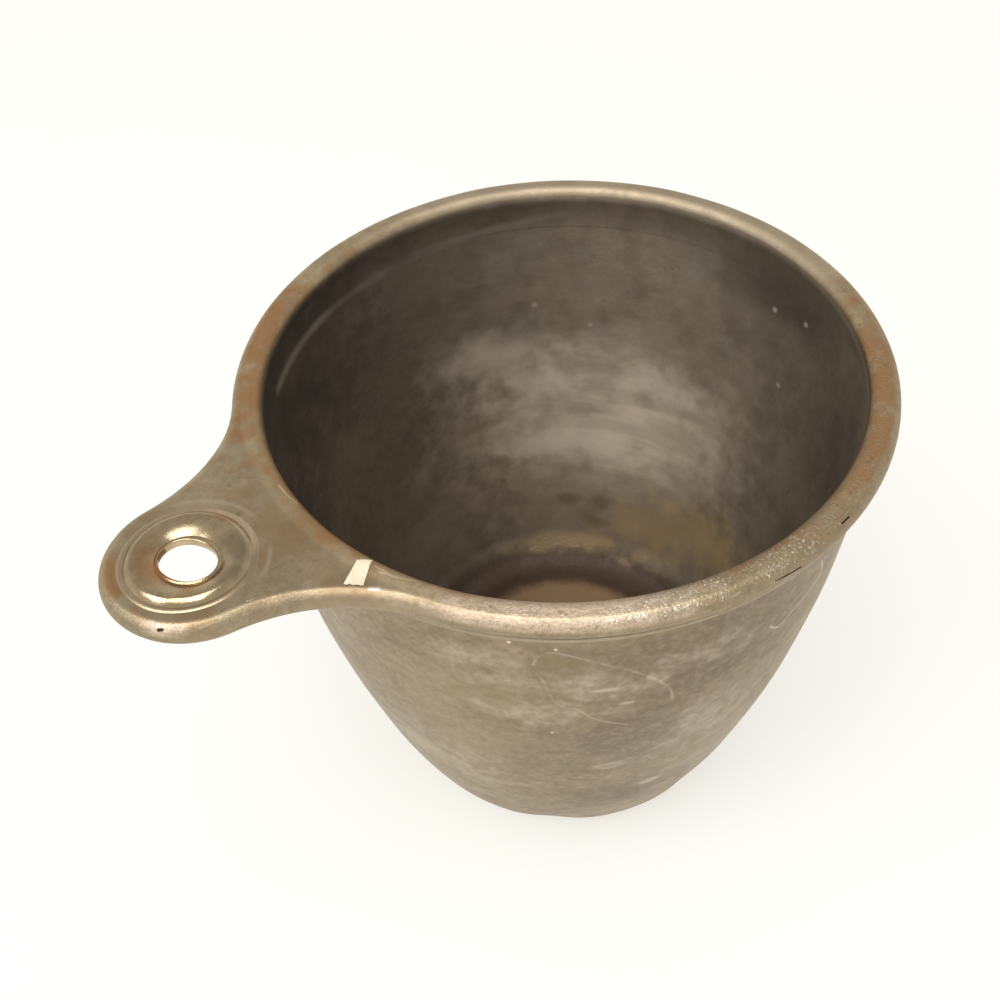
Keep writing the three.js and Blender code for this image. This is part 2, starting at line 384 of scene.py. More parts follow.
def worn_frame(point):
    """Raise or lower a point of the frame a little, for the unevenness of its sheet."""
    return point + Vector((0, 0, FRAME_WAVE_DEPTH * noise.noise(point / FRAME_WAVE)))


def eyelet_seat():
    """Where the eyelet stands: square to the raised plate, near the middle of the handle tip."""
    return Matrix.Translation(lifted(EYELET_AXIS, 0, CUP_HEIGHT)) @ Matrix.Rotation(-HANDLE_RISE, 4, "Y")


def punch_hole(piece):
    """Cut the round hole that the eyelet's barrel goes through."""
    depth = 2 * FRAME_SHEET
    sides = [(0, -depth), (PLATE_HOLE_RADIUS, -depth), (PLATE_HOLE_RADIUS, depth), (0, depth)]
    points, faces = revolve(sides, EYELET_SEGMENTS)
    seat = eyelet_seat()
    punch = new_piece("punch", [seat @ point for point in points], faces)
    cut = piece.modifiers.new("hang_hole", "BOOLEAN")
    cut.object = punch
    cut.solver = "EXACT"
    cut_mesh = bpy.data.meshes.new_from_object(piece.evaluated_get(bpy.context.evaluated_depsgraph_get()))
    piece.modifiers.clear()
    piece.data = cut_mesh
    bpy.data.objects.remove(punch)


def mark_frame(piece):
    """Mark how far each point lies down the collar, or over the curled bead."""
    collar = piece.data.attributes.new("collar", "FLOAT", "POINT")
    bead = piece.data.attributes.new("bead", "FLOAT", "POINT")
    for point in piece.data.vertices:
        place = point.co / MM
        drop = max(CUP_HEIGHT + handle_lift(place.x) - place.z, 0)
        inside = math.hypot(place.x, place.y) < SHOULDER_MIDDLE
        collar.data[point.index].value = min(drop / SHOULDER, 1) if inside else 0
        bead.data[point.index].value = 0 if inside else min(drop / CURL_RADIUS, 1)


def make_frame():
    stations = edge_stations(rim_steps=240, fillet_steps=36, tip_steps=80)
    rings = [frame_section(station) for station in stations]
    around = len(rings[0])
    faces = []
    for row in range(len(rings)):
        start = row * around
        stop = (row + 1) % len(rings) * around
        for side in range(around):
            above = (side + 1) % around
            faces.append([start + side, stop + side, stop + above, start + above])
    piece = new_piece("rim_and_handle", [worn_frame(point) for ring in rings for point in ring], faces)
    punch_hole(piece)
    mark_frame(piece)
    piece.data.materials.clear()
    piece.data.materials.append(frame_metal())
    return piece


def swell(start, stop, steps):
    """A soft step from one level point to another."""
    points = []
    for step in range(steps + 1):
        share = step / steps
        rise = share * share * (3 - 2 * share)
        points.append((start[0] + (stop[0] - start[0]) * share, start[1] + (stop[1] - start[1]) * rise))
    return points


def pressed_oval(point):
    """Move a point of the eyelet along with its hole, the more the nearer it is to the hole."""
    radius = math.hypot(point.x, point.y)
    share = (EYELET_CREST_RADIUS - radius) / (EYELET_CREST_RADIUS - HANG_HOLE / 2)
    share = min(max(share, 0), 1) ** 2
    stretch = HOLE_OVAL * math.cos(2 * (math.atan2(point.y, point.x) - HOLE_OVAL_TURN))
    way = Vector((point.x, point.y, 0)).normalized()
    return point + (way * stretch + HOLE_OFFSET) * share


def make_eyelet():
    """A pressed ring: a fine edge round a crested dish, a lip, the barrel, and the clinched edge below."""
    bore = HANG_HOLE / 2
    barrel = bore + EYELET_SHEET
    clinch_round = EYELET_CLINCH / 2
    clinch_top = -FRAME_SHEET - EYELET_FIT
    clinch_foot = clinch_top - EYELET_CLINCH
    clinch = (EYELET_CLINCH_RADIUS - clinch_round, clinch_foot + clinch_round)
    skirt = (EYELET_SKIRT_RADIUS, -EYELET_SKIRT_SINK)
    edge = (EYELET_EDGE_RADIUS, EYELET_EDGE)
    valley = (EYELET_VALLEY_RADIUS, EYELET_VALLEY)
    crest = (EYELET_CREST_RADIUS, EYELET_CREST)
    dish = (bore + EYELET_LIP_FOOT, EYELET_DISH)
    lip = (bore + EYELET_LIP, EYELET_DISH + EYELET_LIP_RISE)
    profile = swell(skirt, edge, 8) + swell(edge, valley, 6)[1:]
    profile += slope(crest, valley, power=1.6, steps=20)[-2::-1] + [crest]
    profile += slope(crest, dish, power=2.0, steps=28) + swell(dish, lip, 6)[1:]
    profile += arc((lip[0], lip[1] - EYELET_LIP), EYELET_LIP, 90, 180, 4)[1:]
    profile += arc((bore + EYELET_LIP, clinch_foot + EYELET_LIP), EYELET_LIP, 180, 270, 4)
    profile += arc(clinch, clinch_round, -90, 90, 6)
    profile += [(barrel, clinch_top), (barrel, -EYELET_SKIRT_SINK)]
    points, faces = revolve(profile, EYELET_SEGMENTS, closed=True)
    seat = eyelet_seat()
    piece = new_piece("eyelet_ring", [seat @ pressed_oval(point) for point in points], faces)
    piece.data.materials.append(eyelet_metal())
    return piece


def make_paper():
    """A torn four-sided scrap that lies on the plate and over the shoulder, as one thin closed sheet."""
    across = 14
    along = 20
    tear_step = 0.9
    tear_layer = 3.0
    corners = [Vector(corner) for corner in PAPER_CORNERS]

    def place(row, column):
        near = corners[0].lerp(corners[1], column / across)
        far = corners[3].lerp(corners[2], column / across)
        point = near.lerp(far, row / along)
        if row in (0, along) or column in (0, across):
            tear = PAPER_TEAR * noise.noise(Vector((row * tear_step, column * tear_step, tear_layer)))
            point += Vector((tear, tear))
        return plate_top(point.x, point.y)

    def number(row, column):
        return row * (across + 1) + column

    spots = [place(row, column) for row in range(along + 1) for column in range(across + 1)]
    under = [spot + Vector((0, 0, PAPER_LIFT)) for spot in spots]
    over = [spot + Vector((0, 0, PAPER_LIFT + PAPER_SHEET)) for spot in spots]
    faces = []
    for row in range(along):
        for column in range(across):
            cell = [number(row, column), number(row, column + 1)]
            cell += [number(row + 1, column + 1), number(row + 1, column)]
            faces.append([corner + len(spots) for corner in cell])
            faces.append(cell[::-1])
    border = [number(0, column) for column in range(across)]
    border += [number(row, across) for row in range(along)]
    border += [number(along, column) for column in range(across, 0, -1)]
    border += [number(row, 0) for row in range(along, 0, -1)]
    for start, stop in zip(border, border[1:] + border[:1]):
        faces.append([start, stop, stop + len(spots), start + len(spots)])
    piece = new_piece("paper_scrap", under + over, faces)
    piece.data.materials.append(torn_paper())
    return piece


def feed(tree, socket, value):
    """Set an input to a value, or link another node's output to it."""
    if isinstance(value, bpy.types.NodeSocket):
        tree.links.new(value, socket)
    else:
        socket.default_value = value


def add_node(tree, kind, inputs=None, **settings):
    """Place a node. Its inputs, by name or number, are values or other nodes' outputs."""
    node = tree.nodes.new(kind)
    for name, value in settings.items():
        setattr(node, name, value)
    for name, value in (inputs or {}).items():
        feed(tree, node.inputs[name], value)
    return node


def value_math(tree, operation, first, second):
    return add_node(tree, "ShaderNodeMath", {0: first, 1: second}, operation=operation).outputs[0]


def vector_math(tree, operation, first, second):
    return add_node(tree, "ShaderNodeVectorMath", {0: first, 1: second}, operation=operation).outputs[0]


def vector_measure(tree, operation, first, second):
    """A number taken from two vectors, such as their distance."""
    node = add_node(tree, "ShaderNodeVectorMath", {0: first, 1: second}, operation=operation)
    return node.outputs["Value"]


def spread(tree, value, low, high, at_low=0.0, at_high=1.0):
    """A smooth step of a value, from one level below low to another above high."""
    levels = {"Value": value, "From Min": low, "From Max": high, "To Min": at_low, "To Max": at_high}
    return add_node(tree, "ShaderNodeMapRange", levels, interpolation_type="SMOOTHSTEP").outputs[0]


def tint(tree, color, share, other):
    """Turn a colour into another one by a share. A colour is three numbers or a node's output."""
    pair = [value if isinstance(value, bpy.types.NodeSocket) else (*value, 1) for value in (color, other)]
    return add_node(tree, "ShaderNodeMix", {0: share, 6: pair[0], 7: pair[1]}, data_type="RGBA").outputs[2]


def new_group(name, inputs, outputs):
    """Start a node group that reads a place and other named sockets, and give it with its inner ends."""
    group = bpy.data.node_groups.new(name, "ShaderNodeTree")
    for label, kind, value in [("Vector", "Vector", (0, 0, 0))] + inputs:
        socket = group.interface.new_socket(label, in_out="INPUT", socket_type="NodeSocket" + kind)
        socket.default_value = value
    for label, kind in outputs:
        group.interface.new_socket(label, in_out="OUTPUT", socket_type="NodeSocket" + kind)
    given = group.nodes.new("NodeGroupInput").outputs
    result = group.nodes.new("NodeGroupOutput").inputs
    return group, given, result


def mottle_group():
    """Soft clouds: a mask between two levels of a noise. Grain is waves a millimetre, along each axis."""
    inputs = [
        ("Grain", "Vector", (1, 1, 1)),
        ("Low", "Float", 0.4),
        ("High", "Float", 0.6),
    ]
    group, given, result = new_group("Mottle", inputs, [("Mask", "Float")])
    place = vector_math(group, "MULTIPLY", given["Vector"], given["Grain"])
    settings = {"Vector": place, "Scale": 1, "Detail": 3, "Roughness": 0.55}
    clouds = add_node(group, "ShaderNodeTexNoise", settings)
    group.links.new(spread(group, clouds.outputs[0], given["Low"], given["High"]), result["Mask"])
    return group


def spot_group():
    """One patch of given half sizes. Core is the share that is full, and Torn moves its edge in or out."""
    inputs = [
        ("Centre", "Vector", (0, 0, 0)),
        ("Reach", "Vector", (1, 1, 1)),
        ("Core", "Float", 0.2),
        ("Torn", "Float", 0.0),
    ]
    group, given, result = new_group("Spot", inputs, [("Mask", "Float")])
    away = vector_math(group, "SUBTRACT", given["Vector"], given["Centre"])
    away = vector_math(group, "DIVIDE", away, given["Reach"])
    distance = add_node(group, "ShaderNodeVectorMath", {0: away}, operation="LENGTH").outputs["Value"]
    edge = value_math(group, "ADD", distance, given["Torn"])
    group.links.new(spread(group, edge, given["Core"], 1.0, 1.0, 0.0), result["Mask"])
    return group


def scratch_group():
    """A straight scratch between two points, strongest along its middle."""
    inputs = [
        ("Start", "Vector", (0, 0, 0)),
        ("End", "Vector", (1, 0, 0)),
        ("Width", "Float", 0.2),
    ]
    group, given, result = new_group("Scratch", inputs, [("Mask", "Float")])
    run = vector_math(group, "SUBTRACT", given["End"], given["Start"])
    away = vector_math(group, "SUBTRACT", given["Vector"], given["Start"])
    along = vector_measure(group, "DOT_PRODUCT", away, run)
    whole = vector_measure(group, "DOT_PRODUCT", run, run)
    share = add_node(group, "ShaderNodeMath", {0: along, 1: whole}, operation="DIVIDE", use_clamp=True)
    foot = add_node(group, "ShaderNodeVectorMath", {0: run, "Scale": share.outputs[0]}, operation="SCALE")
    distance = vector_measure(group, "DISTANCE", away, foot.outputs[0])
    group.links.new(spread(group, distance, 0.0, given["Width"], 1.0, 0.0), result["Mask"])
    return group


def pits_group():
    """Scattered small pits. Size is their spacing in millimetres, and Cover the share that is kept."""
    inputs = [("Size", "Float", 1.0), ("Cover", "Float", 0.3)]
    group, given, result = new_group("Pits", inputs, [("Mask", "Float")])
    waves = value_math(group, "DIVIDE", 1.0, given["Size"])
    cells = add_node(group, "ShaderNodeTexVoronoi", {"Vector": given["Vector"], "Scale": waves})
    chance = add_node(group, "ShaderNodeSeparateColor", {0: cells.outputs["Color"]})
    kept = value_math(group, "LESS_THAN", chance.outputs[0], given["Cover"])
    reach = spread(group, chance.outputs[1], 0.0, 1.0, 0.15, 0.45)
    hollow = spread(group, cells.outputs["Distance"], 0.05, reach, 1.0, 0.0)
    group.links.new(value_math(group, "MULTIPLY", hollow, kept), result["Mask"])
    return group


def aged_plate_group():
    """Old plated sheet: cloudy between two colours, with a fine grain and dark pinholes."""
    inputs = [
        ("Light", "Color", (0.4, 0.32, 0.22, 1)),
        ("Dark", "Color", (0.28, 0.22, 0.14, 1)),
        ("Cloud", "Float", 0.1),
        ("Smooth", "Float", 0.35),
        ("Rough", "Float", 0.5),
    ]
    outputs = [("Color", "Color"), ("Roughness", "Float"), ("Height", "Float")]
    group, given, result = new_group("Aged Plate", inputs, outputs)

    def clouds(times, low, high):
        grain = value_math(group, "MULTIPLY", given["Cloud"], times)
        grain = add_node(group, "ShaderNodeCombineXYZ", {0: grain, 1: grain, 2: grain}).outputs[0]
        settings = {"Vector": given["Vector"], "Grain": grain, "Low": low, "High": high}
        return add_node(group, "ShaderNodeGroup", settings, node_tree=MOTTLE).outputs["Mask"]

    broad = clouds(1.0, 0.3, 0.7)
    middle = clouds(7.0, 0.3, 0.7)
    fine = clouds(24.0, 0.25, 0.75)
    pinhole_settings = {"Vector": given["Vector"], "Size": 1.1, "Cover": 0.16}
    pinholes = add_node(group, "ShaderNodeGroup", pinhole_settings, node_tree=PITS).outputs["Mask"]
    tone = value_math(group, "MULTIPLY", broad, 0.45)
    tone = value_math(group, "ADD", tone, value_math(group, "MULTIPLY", middle, 0.3))
    tone = value_math(group, "ADD", tone, value_math(group, "MULTIPLY", fine, 0.25))
    color = tint(group, given["Dark"], tone, given["Light"])
    color = tint(group, color, value_math(group, "MULTIPLY", pinholes, 0.35), (0.09, 0.065, 0.04))
    levels = {"Value": tone, "To Min": given["Rough"], "To Max": given["Smooth"]}
    rough = add_node(group, "ShaderNodeMapRange", levels).outputs[0]
    group.links.new(color, result["Color"])
    group.links.new(rough, result["Roughness"])
    group.links.new(value_math(group, "SUBTRACT", fine, pinholes), result["Height"])
    return group


class Finish:
    """A node tree that is being painted, and the place in millimetres that every effect in it reads."""

    def __init__(self, tree, place):
        self.tree = tree
        self.place = place
        self.torn = self.maths("SUBTRACT", self.mottle((0.3, 0.3, 0.3), 0.2, 0.8), 0.5)

    def group(self, group, **inputs):
        inputs = {"Vector": self.place, **inputs}
        return add_node(self.tree, "ShaderNodeGroup", inputs, node_tree=group).outputs

    def plate(self, light, dark, cloud, smooth, rough):
        colors = {"Light": (*light, 1), "Dark": (*dark, 1)}
        return self.group(AGED_PLATE, **colors, Cloud=cloud, Smooth=smooth, Rough=rough)

    def mottle(self, grain, low, high):
        return self.group(MOTTLE, Grain=grain, Low=low, High=high)["Mask"]

    def pits(self, size, cover):
        return self.group(PITS, Size=size, Cover=cover)["Mask"]

    def maths(self, operation, first, second):
        return value_math(self.tree, operation, first, second)

    def weaken(self, mask, share):
        return self.maths("MULTIPLY", mask, share)

    def strongest(self, masks):
        """The strongest of some masks. Each is joined to those before it as soon as it is made."""
        masks = iter(masks)
        mask = next(masks)
        for other in masks:
            mask = self.maths("MAXIMUM", mask, other)
        return mask

    def spread(self, value, low, high, at_low=0.0, at_high=1.0):
        return spread(self.tree, value, low, high, at_low, at_high)

    def fade(self, value, low, high):
        """A smooth step down, from 1 below low to 0 above high."""
        return self.spread(value, low, high, 1.0, 0.0)

    def spots(self, marks, core, ragged):
        """All the marks together, each a centre and half sizes. ragged is how uneven their edges are."""
        torn = self.weaken(self.torn, ragged)
        return self.strongest(
            self.group(SPOT, Centre=centre, Reach=reach, Core=core, Torn=torn)["Mask"]
            for centre, reach in marks
        )

    def wall_spots(self, marks, core, ragged, inside=False):
        """Marks on the bowl's wall: turn, height, half width round the wall and half height."""
        return self.spots([
            (on_wall(turn, height, inside), (wide, wide, tall)) for turn, height, wide, tall in marks
        ], core, ragged)

    def scratch(self, points, width):
        """One scratch through a run of points."""
        return self.strongest(
            self.group(SCRATCH, Start=start, End=stop, Width=width)["Mask"]
            for start, stop in zip(points, points[1:])
        )

    def from_line(self, x):
        """How far a place is from the upright line through (x, 0)."""
        flat = vector_math(self.tree, "MULTIPLY", self.place, (1, 1, 0))
        return vector_measure(self.tree, "DISTANCE", flat, (x, 0, 0))

    def ring(self, radius, full, end):
        """A thin ring round the eyelet's axis, full near its radius and gone at its end."""
        off = self.maths("SUBTRACT", self.from_line(EYELET_AXIS), radius)
        off = add_node(self.tree, "ShaderNodeMath", {0: off}, operation="ABSOLUTE").outputs[0]
        return self.fade(off, full, end)

    def axes(self):
        return add_node(self.tree, "ShaderNodeSeparateXYZ", {0: self.place}).outputs

    def mark(self, name):
        return add_node(self.tree, "ShaderNodeAttribute", attribute_name=name).outputs["Fac"]

    def coats(self, color, layers):
        """Lay coats over a colour in turn, each a mask, how much of it covers, and the coat's colour."""
        for mask, share, coat in layers:
            color = tint(self.tree, color, self.weaken(mask, share), coat)
        return color


def new_material(name):
    """A material, and the finish to paint it with."""
    material = bpy.data.materials.new(name)
    material.use_nodes = True
    tree = material.node_tree
    metres = add_node(tree, "ShaderNodeTexCoord").outputs["Object"]
    return material, Finish(tree, vector_math(tree, "MULTIPLY", metres, (1 / MM, 1 / MM, 1 / MM)))


def cover(material, color, roughness, height, depth, metallic=1.0):
    """Give a material its finished colour, roughness, metal and relief, whose depth is in millimetres."""
    tree = material.node_tree
    shader = tree.nodes["Principled BSDF"]
    bump = add_node(tree, "ShaderNodeBump", {"Strength": 1.0, "Distance": depth * MM, "Height": height})
    feed(tree, shader.inputs["Base Color"], color)
    feed(tree, shader.inputs["Roughness"], roughness)
    feed(tree, shader.inputs["Metallic"], metallic)
    feed(tree, shader.inputs["Normal"], bump.outputs[0])


def curved(points, steps, inside=False):
    """A smooth run through points of (turn, height) on the bowl's wall."""
    run = []
    ends = [points[0]] + points + [points[-1]]
    for before, start, stop, after in zip(ends, ends[1:], ends[2:], ends[3:]):
        for step in range(steps):
            share = step / steps
            place = []
            for a, b, c, d in zip(before, start, stop, after):
                bend = (2 * a - 5 * b + 4 * c - d) * share ** 2 + (3 * b - a - 3 * c + d) * share ** 3
                place.append((2 * b + (c - a) * share + bend) / 2)
            run.append(on_wall(*place, inside))
    run.append(on_wall(*points[-1], inside))
    return run


def inside_tarnish_and_light_group():
    """Grey-brown tarnish in the cup, with painted shade round the sides, a painted pool of light on the
    worn back wall, darker at the bottom corner and brown low down.
    """
    outputs = [("Color", "Color"), ("Roughness", "Float"), ("Metallic", "Float"), ("Height", "Float")]
    group, given, result = new_group("Inside Tarnish And Painted Light", [], outputs)
    finish = Finish(group, given["Vector"])

    def patches(marks, core=0.1, ragged=0.4):
        return finish.wall_spots(marks, core, ragged, inside=True)

    tarnish = finish.plate((0.255, 0.21, 0.161), (0.15, 0.122, 0.092), cloud=0.07, smooth=0.42, rough=0.6)
    blotches = finish.mottle((0.12, 0.12, 0.16), 0.48, 0.72)
    cool = finish.mottle((0.2, 0.2, 0.14), 0.5, 0.68)
    streaks = finish.mottle((0.05, 0.05, 0.35), 0.42, 0.66)
    # Painted light: halo, worn and bright paint a pool of light with bright streaks on the back wall, where
    # the metal is also worn; dim darkens places in it
    halo = patches([(-147, 30, 40, 62)], core=0.15, ragged=0.2)
    worn = patches([(-142, 29, 32, 20)], ragged=0.25)
    bright = patches([
        (-113, 42, 17, 6.4), (-158, 37.5, 12, 4.5), (-125, 36, 9, 4), (-132, 23.5, 18, 5.6),
    ], core=0.0, ragged=0.25)
    dim = patches([
        (-138, 30, 11, 1.8), (-101, 28.5, 9, 6), (-163, 29, 7, 3.4), (-141, 38, 6, 3.4),
    ], core=0.0)
    # Painted light, lower on the left wall, in the halo's colour
    painted_light_low_left = patches([(-84, 16, 19, 16)])
    sooty = patches([
        (-144.5, 11.4, 3.0, 3.2), (-143.3, 7.5, 4.0, 2.0), (-133, 11.6, 3.6, 1.8),
    ], core=0.0, ragged=0.9)
    brassy = patches([(-160, 8, 13, 7), (-174, 11.5, 14, 9), (173, 14.5, 12, 9)], ragged=0.6)
    band = patches([(-134, 3.7, 14, 2.4)], ragged=0.5)
    # Painted shade: dark on the left and right walls, and weakly low on the right
    shade = finish.strongest(finish.weaken(patches(marks), share) for share, marks in (
        (0.86, [(-50, 61, 31, 24), (-20, 44, 24, 32)]),
        (0.64, [(172, 62, 20, 6), (139, 52, 14, 20)]),
        (0.16, [(166, 26, 22, 14)]),
    ))
    nest_line = [
        (-46, 61.9), (-54, 62.3), (-66, 62.8), (-86, 63.0), (-107, 63.7), (-120, 64.4), (-134, 66.0),
    ]
    nested = finish.scratch(curved(nest_line, 1, inside=True), width=1.1)
    nested = finish.weaken(nested, finish.mottle((0.12, 0.12, 0.12), 0.2, 0.5))
    speck_places = [(-124.2, 50.1), (-138.2, 46.3), (174.7, 59.6), (165.2, 61.0), (168.7, 49.0)]
    specks = patches([(*place, 0.6, 0.6) for place in speck_places], core=0.2)
    low = finish.fade(finish.axes()["Z"], 1.7, 4.4)
    floor = finish.fade(finish.maths("ADD", finish.from_line(0), finish.torn), 17.0, 20.0)
    floor = finish.weaken(floor, low)
    color = finish.coats(tarnish["Color"], [
        (halo, 0.9, (0.55, 0.452, 0.335)),
        (shade, 1.0, (0.06, 0.048, 0.04)),
        (painted_light_low_left, 0.2, (0.55, 0.452, 0.335)),
        (worn, 0.9, (0.95, 0.81, 0.64)),
        (streaks, finish.weaken(halo, 0.3), (0.36, 0.285, 0.2)),
        (blotches, 0.4, (0.16, 0.12, 0.085)),
        (cool, finish.weaken(halo, 0.35), (0.52, 0.47, 0.41)),
        (bright, 0.6, (1.0, 0.88, 0.72)),
        (dim, 0.45, (0.4, 0.32, 0.23)),
        (low, 0.95, (0.052, 0.028, 0.014)),
        (floor, 0.9, (0.28, 0.187, 0.105)),
        (brassy, 0.6, (0.6, 0.44, 0.21)),
        (band, 0.55, (0.6, 0.44, 0.21)),
        (sooty, 0.45, (0.12, 0.088, 0.065)),
        (nested, 0.6, (0.4, 0.35, 0.3)),
        (specks, 0.6, (0.8, 0.72, 0.62)),
    ])
    group.links.new(color, result["Color"])
    group.links.new(tarnish["Roughness"], result["Roughness"])
    group.links.new(finish.spread(worn, 0.0, 1.0, 0.5, 0.25), result["Metallic"])
    group.links.new(tarnish["Height"], result["Height"])
    return group


def bowl_outside():
    """Dull tarnished plate with chalky scuffs, a long looped scratch, a hooked one and painted shade on the
    front.
    """
    material, finish = new_material("bowl_outside")
    plate = finish.plate((0.4, 0.315, 0.203), (0.25, 0.194, 0.117), cloud=0.07, smooth=0.38, rough=0.52)
    grain = finish.mottle((1.1, 1.1, 1.1), 0.42, 0.7)
    drawn = finish.mottle((0.05, 0.05, 0.8), 0.45, 0.7)
    olive = finish.wall_spots([
        (40, 54, 12, 9), (28, 40, 10, 12), (110, 50, 12, 12),
        (250, 55, 16, 9), (60, 66, 14, 3), (29, 51, 7, 7),
    ], core=0.0, ragged=0.8)
    # Painted shade: darker spots on the front of the wall
    dull = finish.wall_spots([(70, 57, 22, 20), (64, 42, 18, 18), (66, 20, 12, 9)], core=0.1, ragged=0.5)
    chalk = finish.wall_spots([
        (54, 57.4, 7, 4.5), (60, 55, 8, 3.5), (36, 60.5, 7, 3.5), (40.5, 57, 7, 4.5),
        (45, 50, 10, 4), (78, 40, 10, 10), (20, 27, 16, 8), (72, 58, 8, 4),
        (136, 47, 22, 7), (205, 34, 24, 8), (272, 52, 24, 7), (325, 38, 20, 8),
    ], core=0.0, ragged=1.1)
    rubs = finish.weaken(chalk, finish.mottle((0.9, 0.9, 0.9), 0.3, 0.75))
    scuffs = finish.wall_spots([
        (59.2, 33.8, 3.1, 1.5), (70, 23, 2.6, 1.6), (57.5, 55, 2.0, 0.5),
        (60.5, 51.5, 1.2, 0.35), (240, 33, 4, 2), (300, 24, 3, 3),
    ], core=0.3, ragged=0.8)
    oval = finish.wall_spots([(59.2, 33.7, 2.1, 0.8)], core=0.3, ragged=0.6)
    leaf = finish.wall_spots([(47.6, 61, 2.8, 1.9), (50.6, 61.2, 2.6, 1.3)], core=0.5, ragged=0.7)
    loop = [(45.2, 60.6), (46.2, 62.5), (48.9, 63.2), (55.7, 60.8), (62.3, 57.6), (67.8, 53.2), (69, 50)]
    lower = [
        (45.6, 59), (46.9, 56.8), (48, 53.3), (49.6, 51.9),
        (52.3, 51), (54.9, 48.7), (58.1, 47.2), (62.8, 45.5),
    ]
    hook = [(98.2, 61.7), (100.1, 57.5), (93.3, 55.4), (90.2, 54.2), (87.4, 56.1)]
    rings = finish.strongest(finish.scratch(curved(points, 2), width=0.28) for points in (loop, lower))
    rings = finish.weaken(rings, finish.mottle((0.5, 0.5, 0.5), 0.3, 0.6))
    scratches = finish.strongest([finish.weaken(rings, 0.6), finish.scratch(curved(hook, 3), width=0.26)])
    specks = finish.wall_spots([
        (41.7, 64.7, 0.3, 0.3), (48.8, 63.8, 0.22, 0.22), (47.8, 45.2, 0.25, 0.25),
    ], core=0.3, ragged=0.3)
    # Painted light: a lighter line on the flange's edge, where it lies in the curl's shade
    flange = finish.spread(finish.from_line(0), FLANGE_RADIUS - 0.5, FLANGE_RADIUS - 0.2)
    color = finish.coats(plate["Color"], [
        (dull, 0.85, (0.19, 0.146, 0.092)),
        (olive, 0.55, (0.33, 0.27, 0.15)),
        (drawn, 0.16, (0.22, 0.172, 0.11)),
        (grain, 0.22, (0.52, 0.43, 0.31)),
        (chalk, 0.3, (0.52, 0.44, 0.34)),
        (rubs, 0.52, (0.66, 0.57, 0.46)),
        (scuffs, 0.42, (0.72, 0.63, 0.52)),
        (oval, 0.7, (0.33, 0.265, 0.175)),
        (leaf, 0.55, (0.27, 0.222, 0.115)),
        (scratches, 0.6, (0.72, 0.63, 0.5)),
        (specks, 1.0, (0.85, 0.74, 0.52)),
        (flange, 0.3, (0.62, 0.53, 0.4)),
    ])
    roughness = finish.maths("ADD", plate["Roughness"], finish.weaken(rubs, 0.1))
    cover(material, color, roughness, plate["Height"], depth=0.012)
    return material


def bowl_inside():
    """The tarnished inside of the bowl, with its painted shade and painted light."""
    material, finish = new_material("bowl_inside")
    tarnish = finish.group(INSIDE_TARNISH_AND_LIGHT)
    color = tarnish["Color"]
    height = tarnish["Height"]
    cover(material, color, tarnish["Roughness"], height, depth=0.02, metallic=tarnish["Metallic"])
    return material


